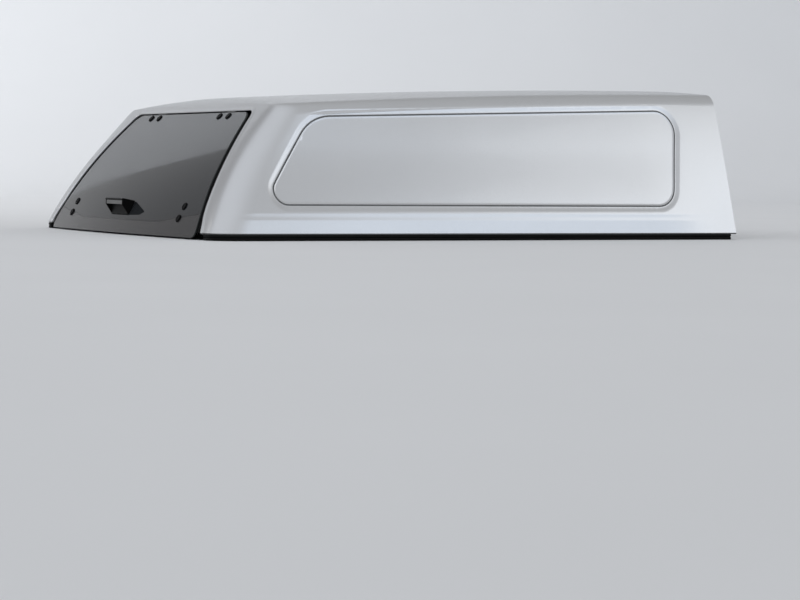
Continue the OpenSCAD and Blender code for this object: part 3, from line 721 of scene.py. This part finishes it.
def extruded(name, outline, half, bevel, segments=3):
    # an outline of [up the glass, out from it], as wide as the handle, with rounded edges
    place = onGlass(0, handle["foot"])
    points = [place @ Vector((x, u, w)) for x in (-half, half) for u, w in outline]
    n = len(outline)
    faces = [list(range(n)), [n + k for k in reversed(range(n))]]
    faces += [[k, k + n, (k + 1) % n + n, (k + 1) % n] for k in range(n)]
    piece = meshPiece(name, points, faces)
    mesh = piece.data
    middle = sum((v.co for v in mesh.vertices), Vector()) / len(mesh.vertices)
    side = mesh.polygons[2]
    if side.normal.dot(side.center - middle) < 0:
        mesh.flip_normals()
    rounding = piece.modifiers.new("rounded edges", "BEVEL")
    rounding.width, rounding.segments, rounding.limit_method = bevel, segments, "ANGLE"
    rounding.angle_limit = math.radians(handle["roundAbove"])
    weighted = piece.modifiers.new("even shading", "WEIGHTED_NORMAL")
    weighted.keep_sharp = True
    return piece


up, out = handle["height"], handle["reach"]
hoodOutline = [
    (up, 0.0010), (up - 0.001, 0.006), (up - 0.0065, 0.024), (up - 0.012, out - 0.003), (up - 0.016, out),
    (up - 0.020, out - 0.0012), (0.033, out - 0.011), (0.030, 0.020), (0.012, 0.0085), (0.001, 0.004),
    (0.000, 0.0010),
]
hood = extruded("handleHood", hoodOutline, handle["half"], handle["hoodRound"])
cheekOutline = [(0.001, 0.001), (up - 0.001, 0.001), (up - 0.0135, out - 0.0008), (0.020, out - 0.0085)]
cheeks = []
for sign, side in ((1, "right"), (-1, "left")):
    cheek = extruded(side + "HandleCheek", cheekOutline, handle["cheekHalf"], handle["cheekRound"])
    aside = Vector((sign * (handle["half"] - handle["cheekInset"]), 0, 0))
    cheek.data.transform(Matrix.Translation(onGlass(0, handle["foot"]).to_3x3() @ aside))
    cheeks.append(cheek)
pu, pw = handle["pivotUp"], handle["pivotOut"]
paddleOutline = [
    (pu + 0.0024, pw + 0.0020), (pu, pw + 0.0031), (pu - 0.0030, pw + 0.0018), (pu - 0.0128, pw - 0.0022),
    (pu - 0.0116, pw - 0.0056), (pu - 0.0010, pw - 0.0028), (pu + 0.0022, pw - 0.0020),
]
paddle = extruded("handlePaddle", paddleOutline, handle["paddleHalf"], handle["paddleRound"])
print("handle built")


# shader building: a wrapped socket works in expressions, and each operator adds one Math node
class Wire:
    def __init__(self, finish, socket):
        self.finish, self.socket = finish, socket

    def maths(self, operation, first, second):
        return self.finish.add("ShaderNodeMath", {"operation": operation}, {0: first, 1: second})

    def __add__(self, other):
        return self.maths("ADD", self, other)

    def __radd__(self, other):
        return self.maths("ADD", other, self)

    def __sub__(self, other):
        return self.maths("SUBTRACT", self, other)

    def __rsub__(self, other):
        return self.maths("SUBTRACT", other, self)

    def __mul__(self, other):
        return self.maths("MULTIPLY", self, other)

    def __rmul__(self, other):
        return self.maths("MULTIPLY", other, self)

    def __pow__(self, other):
        return self.maths("POWER", self, other)


class Finish:
    def __init__(self, tree):
        self.tree = tree
        tree.nodes.clear()

    def add(self, kind, settings=None, sockets=None, output=0):
        made = self.tree.nodes.new(kind)
        for name, value in (settings or {}).items():
            if name == "stops":
                ramp = made.color_ramp
                while len(ramp.elements) < len(value):
                    ramp.elements.new(0.5)
                for element, (place, colour) in zip(ramp.elements, value):
                    element.position, element.color = place, colour
            else:
                setattr(made, name, value)
        for key, value in (sockets or {}).items():
            if isinstance(value, Wire):
                self.tree.links.new(value.socket, made.inputs[key])
            else:
                made.inputs[key].default_value = value
        return Wire(self, made.outputs[output]) if len(made.outputs) else made

    def ownPlace(self):
        # the object's own coordinates, in metres
        return self.add("ShaderNodeTexCoord", output=3)

    def axes(self, place):
        parts = self.add("ShaderNodeSeparateXYZ", None, {0: place}).socket.node
        return [Wire(self, socket) for socket in parts.outputs]

    def coordinate(self, scale):
        return self.add("ShaderNodeVectorMath", {"operation": "MULTIPLY"}, {0: self.ownPlace(), 1: scale})

    def noise(self, scale, detail=2.0, roughness=0.5, stretch=(1, 1, 1)):
        place = self.coordinate(stretch)
        return self.add("ShaderNodeTexNoise", None,
                        {"Vector": place, "Scale": scale, "Detail": detail, "Roughness": roughness})

    def mixColours(self, mask, a, b):
        return self.add("ShaderNodeMix", {"data_type": "RGBA"}, {0: mask, 6: a, 7: b}, output=2)

    def spread(self, value, low, high, start, end, curve="LINEAR"):
        # brings a value between low and high to a value between start and end
        return self.add("ShaderNodeMapRange", {"clamp": True, "interpolation_type": curve},
                        {"Value": value, "From Min": low, "From Max": high, "To Min": start, "To Max": end})

    def bump(self, height, strength, distance):
        sockets = {"Height": height, "Strength": strength, "Distance": distance}
        return self.add("ShaderNodeBump", None, sockets)

    def surface(self, sockets):
        made = self.add("ShaderNodeBsdfPrincipled", None, sockets)
        self.add("ShaderNodeOutputMaterial", None, {"Surface": made})


def grey(v, blue=0.0):
    return (v, v + blue * 0.4, v + blue, 1)


def material(name):
    made = bpy.data.materials.new(name)
    made.use_nodes = True
    return made, Finish(made.node_tree)


paint = {
    "light": grey(0.66, 0.012), "dark": grey(0.56, 0.010), "roughness": 0.30, "metallic": 0.72,
    "flake": 1500, "peel": 260.0, "cloud": 3.0,
}


def silverPaint():
    made, f = material("silver metallic paint")
    flake = f.noise(paint["flake"], 1.0, 0.6)
    cloud = f.noise(paint["cloud"], 3.0)
    tone = f.spread(flake * 0.8 + cloud * 0.2, 0.30, 0.70, 0, 1)
    peel = f.noise(paint["peel"], 1.5)
    f.surface({
        "Base Color": f.mixColours(tone, paint["dark"], paint["light"]), "Metallic": paint["metallic"],
        "Roughness": f.spread(flake, 0.3, 0.7, paint["roughness"] - 0.03, paint["roughness"] + 0.05),
        "Coat Weight": 0.4, "Coat Roughness": 0.06, "Normal": f.bump(peel, 0.03, 0.0004),
        "Specular Tint": grey(0.55),
    })
    return made


def plastic(name, dark, light, roughness, grain=900.0, depth=0.00025, coat=0.0, shine=0.5):
    made, f = material(name)
    fine, broad = f.noise(grain, 3.0), f.noise(9.0, 3.0)
    f.surface({
        "Base Color": f.mixColours(f.spread(fine * 0.4 + broad * 0.6, 0.35, 0.65, 0, 1), dark, light),
        "Roughness": f.spread(broad, 0.3, 0.7, roughness - 0.05, roughness + 0.06),
        "Coat Weight": coat, "Coat Roughness": 0.08, "Normal": f.bump(fine, 0.35, depth),
        "Specular IOR Level": shine,
    })
    return made


def metal(name, dark, light, roughness, stretch=(1, 1, 1), grain=500.0):
    made, f = material(name)
    fine, broad = f.noise(grain, 4.0, 0.6, stretch), f.noise(14.0, 3.0)
    f.surface({
        "Base Color": f.mixColours(f.spread(fine * 0.5 + broad * 0.5, 0.35, 0.65, 0, 1), dark, light),
        "Metallic": 1.0, "Roughness": f.spread(fine, 0.3, 0.7, roughness - 0.07, roughness + 0.08),
        "Normal": f.bump(fine, 0.15, 0.0001),
    })
    return made


tint = {
    "upper": (0.024, 0.026, 0.028, 1), "lower": (0.034, 0.032, 0.032, 1), "line": (0.004, 0.004, 0.004, 1),
    "bandZ": 0.046, "bandWave": 0.028, "waveFrom": 0.34, "waveTo": 0.62, "lineWide": 0.004, "blur": 0.001,
    "edgeDark": (0.008, 0.010, 0.010, 1), "edgeLight": (0.020, 0.024, 0.023, 1),
}


def tintedGlass():
    made, f = material("dark tinted glass")
    x, _, z = f.axes(f.ownPlace())
    # the printed band along the foot of the glass ends in a dark line, which rises towards the sides
    side = f.add("ShaderNodeMath", {"operation": "ABSOLUTE"}, {0: x})
    height = z - f.spread(side, tint["waveFrom"], tint["waveTo"], 0, tint["bandWave"])
    edge, wide, blur = tint["bandZ"], tint["lineWide"], tint["blur"]
    band = f.spread(height, edge - blur, edge + blur, 1, 0)
    line = f.spread(height, edge - blur, edge, 0, 1) * f.spread(height, edge + wide, edge + wide + blur, 1, 0)
    smear = f.noise(5.0, 4.0, 0.55, (1, 1, 1.6))
    f.surface({
        "Base Color": f.mixColours(line, f.mixColours(band, tint["upper"], tint["lower"]), tint["line"]),
        "Roughness": f.spread(smear, 0.3, 0.7, 0.03, 0.07) + band * 0.16 + line * 0.2,
        "Alpha": f.spread(band, 0, 1, 0.95, 1.0), "IOR": 1.48,
    })
    return made


# the glass edge is coloured near black, darker than a lit polished edge: painted shade that makes the gap
# beside the glass look dark
def glassEdge():
    made, f = material("glass edge in painted shade")
    fine = f.noise(700.0, 2.0)
    f.surface({
        "Base Color": f.mixColours(fine, tint["edgeDark"], tint["edgeLight"]),
        "Roughness": f.spread(fine, 0.3, 0.7, 0.3, 0.4),
    })
    return made


finishes = {
    "silver_paint": silverPaint(),
    "black_rubber": plastic("matt black rubber", grey(0.003), grey(0.006), 0.6, 700.0, 0.0002, shine=0.08),
    "grey_liner": plastic("grained grey liner", grey(0.30), grey(0.38), 0.6, 500.0, 0.0004),
    "black_plastic": plastic("satin black moulding", grey(0.005), grey(0.010), 0.5, 1100.0, 0.0002,
                             shine=0.12),
    "tinted_glass": tintedGlass(),
    "window_glass": plastic("grey window glass", grey(0.030), grey(0.034), 0.05, 8.0, 0.00001),
    "rail_aluminium": plastic("grey coated rail", grey(0.045), grey(0.065), 0.45, 800.0, 0.0001),
    "handle_black": plastic("semi-gloss black", grey(0.004), grey(0.007), 0.42, 600.0, 0.00008, shine=0.03),
    "handle_grey": metal("dark grey paddle", grey(0.07), grey(0.11), 0.3),
    "strut_black": plastic("gloss black tube", grey(0.012), grey(0.018), 0.2, 500.0, 0.00005, coat=0.6),
    "strut_steel": metal("polished rod", grey(0.68), grey(0.76), 0.14, (1, 1, 0.1)),
    "zinc_steel": metal("zinc plated steel", grey(0.42), grey(0.58), 0.34),
}
edgeShadeFinish = glassEdge()
# the groove seal's dark grey is partly the sealant's colour and partly painted shade in the groove round the
# panel
grooveSealAndShade = plastic("grey sealant and painted groove shade", grey(0.13), grey(0.17), 0.5, 600.0, 0.0001)
print("finishes made,", len(finishes))

shellNodes = [
    "roof_skin", "rear_header_skin", "right_side_skin", "left_side_skin", "right_pillar_skin",
    "left_pillar_skin",
]
placed = [
    (paintedShell, "shell", "silver_paint", shellNodes),
    (panels["right"], "shell", "silver_paint", ["right_blank_panel"]),
    (panels["left"], "shell", "silver_paint", ["left_blank_panel"]),
    (seals["right"], "shell", "black_rubber", ["right_panel_seal"]),
    (seals["left"], "shell", "black_rubber", ["left_panel_seal"]),
    (rightBaseSeal, "shell", "black_rubber", ["right_base_seal"]),
    (leftBaseSeal, "shell", "black_rubber", ["left_base_seal"]),
    (hatchGlass, "hatch", "tinted_glass", ["hatch_glass"]),
    (boltCapsPiece, "hatch", "handle_black", ["hatch_bolt_caps"]),
    (hood, "hatch", "handle_black", ["handle_base"]),
    (cheeks[0], "hatch", "handle_black", []),
    (cheeks[1], "hatch", "handle_black", []),
    (paddle, "handle", "handle_grey", ["handle_lever"]),
]
for piece, bodyName, slotName, stoodFor in placed:
    piece.data.materials.append(finishes[slotName])
    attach(piece, bodyName)
    if stoodFor:
        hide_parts(*stoodFor)
hatchGlass.data.materials.append(edgeShadeFinish)
# the groove seals take the dark grey that paints the groove's shade
for seal in seals.values():
    seal.data.materials[0] = grooveSealAndShade
slotOf = {row["node"]: row["material_slot"] for row in frame["record"]["subparts"]}
for name, node in nodes.items():
    node.data.materials.clear()
    node.data.materials.append(finishes[slotOf[name]])
print("pieces placed,", len(placed))


# the set: a pale floor that sweeps up behind, soft lights and the camera
studio = {
    "near": 9.0, "reach": 9.0, "bend": 3.0, "bendSteps": 16, "high": 7.0, "below": 0.0005,
    "ends": (-8.9, 16.0), "place": (0, -0.9, 0), "turn": -26.6,
    "left": grey(0.86), "right": grey(0.66), "fadeFrom": -4.0, "fadeTo": 4.0, "world": 1.0,
}
# what the paint and the glass reflect: the patch's colour, where it stands in the sky and its edge
patches = {
    "glow beside the canopy": {"colour": (1.15, 1.28, 1.46, 1), "away": 24.0, "high": -2.0, "edge": 0.74},
    "paler sky at the rear": {"colour": (0.84, 0.87, 0.92, 1), "away": -84.0, "high": 30.0, "edge": -0.30},
    "shade behind the glass": {"colour": (0.36, 0.36, 0.37, 1), "away": 207.0, "high": 26.0, "edge": 0.87},
}
skyStops = [
    (0.0, grey(0.82)), (0.30, grey(0.84, 0.01)), (0.50, grey(0.60, 0.02)), (0.68, grey(0.46)),
    (1.0, grey(0.42)),
]
lamps = {
    "side light": {"place": (5.5, 5.2, 4.2), "target": (0.7, -0.6, 0.2), "size": (5.0, 2.6), "watts": 40,
                   "colour": (0.96, 0.98, 1.0)},
    "wall light": {"place": (-6.0, -7.5, 3.0), "target": (-10.0, -3.0, 1.0), "size": (3.0, 2.5),
                   "watts": 260, "colour": (1, 1, 1)},
}


def backdrop():
    # a floor with a curved wall behind the object, seen from the camera's side
    reach, bend, steps = studio["reach"], studio["bend"], studio["bendSteps"]
    profile = [(studio["near"], 0.0), (0.0, 0.0), (-reach, 0.0)]
    for k in range(1, steps + 1):
        a = math.pi / 2 * k / steps
        profile.append((-reach - bend * math.sin(a), bend * (1 - math.cos(a))))
    profile.append((-reach - bend, studio["high"]))
    points = [(x, y, z - studio["below"]) for y in studio["ends"] for x, z in profile]
    n = len(profile)
    piece = meshPiece("backdrop", points, [[k, k + 1, k + 1 + n, k + n] for k in range(n - 1)])
    made, f = material("studio floor")
    cloud = f.noise(1.2, 2.0)
    _, y, _ = f.axes(f.ownPlace())
    # the backdrop is coloured light at the left and darker at the right: painted light falloff across it,
    # with a little random mottling
    fade = f.spread(y, studio["fadeFrom"], studio["fadeTo"], 0, 1) * 0.85 + cloud * 0.15
    f.surface({"Base Color": f.mixColours(fade, studio["left"], studio["right"]), "Roughness": 0.85})
    piece.data.materials.append(made)
    turn = Matrix.Rotation(math.radians(studio["turn"]), 4, "Z")
    piece.matrix_world = Matrix.Translation(studio["place"]) @ turn


backdrop()


for name, row in lamps.items():
    lamp = bpy.data.lights.new(name, "AREA")
    lamp.shape, lamp.energy, lamp.color = "RECTANGLE", row["watts"], row["colour"]
    lamp.size, lamp.size_y = row["size"]
    made = bpy.data.objects.new(name, lamp)
    bpy.context.scene.collection.objects.link(made)
    made.location = row["place"]
    towards = Vector(row["target"]) - Vector(row["place"])
    made.rotation_euler = towards.to_track_quat("-Z", "Y").to_euler()

world = bpy.data.worlds.new("studio")
bpy.context.scene.world = world
world.use_nodes = True


def studioWorld():
    f = Finish(world.node_tree)
    place = f.add("ShaderNodeTexCoord")
    _, _, z = f.axes(place)
    colour = f.add("ShaderNodeValToRGB", {"stops": skyStops}, {0: f.spread(z, 0.0, 1.0, 0, 1)})
    for patch in patches.values():
        flat, tall = math.radians(patch["away"]), math.radians(patch["high"])
        aim = (math.cos(flat) * math.cos(tall), math.sin(flat) * math.cos(tall), math.sin(tall))
        towards = f.add("ShaderNodeVectorMath", {"operation": "DOT_PRODUCT"}, {0: place, 1: aim}, output=1)
        mask = f.spread(towards, patch["edge"], 1.0, 0, 1, "SMOOTHERSTEP")
        colour = f.mixColours(mask, colour, patch["colour"])
    light = f.add("ShaderNodeBackground", None, {"Color": colour, "Strength": studio["world"]})
    f.add("ShaderNodeOutputWorld", None, {"Surface": light})


studioWorld()

# the camera, whose focal length is in pixels of a picture this wide
view = {
    "place": (7.690, -4.661, 0.2245), "yaw": 26.61, "pitch": 3.02, "roll": 0.63,
    "focal": 2517.0, "wide": 800.0, "film": 36.0, "clip": (0.05, 200.0),
}
camera = bpy.data.objects.new("camera", bpy.data.cameras.new("camera"))
bpy.context.scene.collection.objects.link(camera)
yaw, pitch, roll = (math.radians(view[k]) for k in ("yaw", "pitch", "roll"))
ahead = Vector((-math.cos(yaw) * math.cos(pitch), math.sin(yaw) * math.cos(pitch), -math.sin(pitch)))
across = Vector((math.sin(yaw), math.cos(yaw), 0))
upward = across.cross(ahead)
right = math.cos(roll) * across + math.sin(roll) * upward
above = math.cos(roll) * upward - math.sin(roll) * across
pose = Matrix((right, above, -ahead)).transposed().to_4x4()
pose.translation = view["place"]
camera.matrix_world = pose
camera.data.sensor_width = view["film"]
camera.data.lens = view["film"] * view["focal"] / view["wide"]
camera.data.clip_start, camera.data.clip_end = view["clip"]
bpy.context.scene.camera = camera
bpy.context.scene.view_settings.view_transform = "Standard"
print("camera and lights placed")
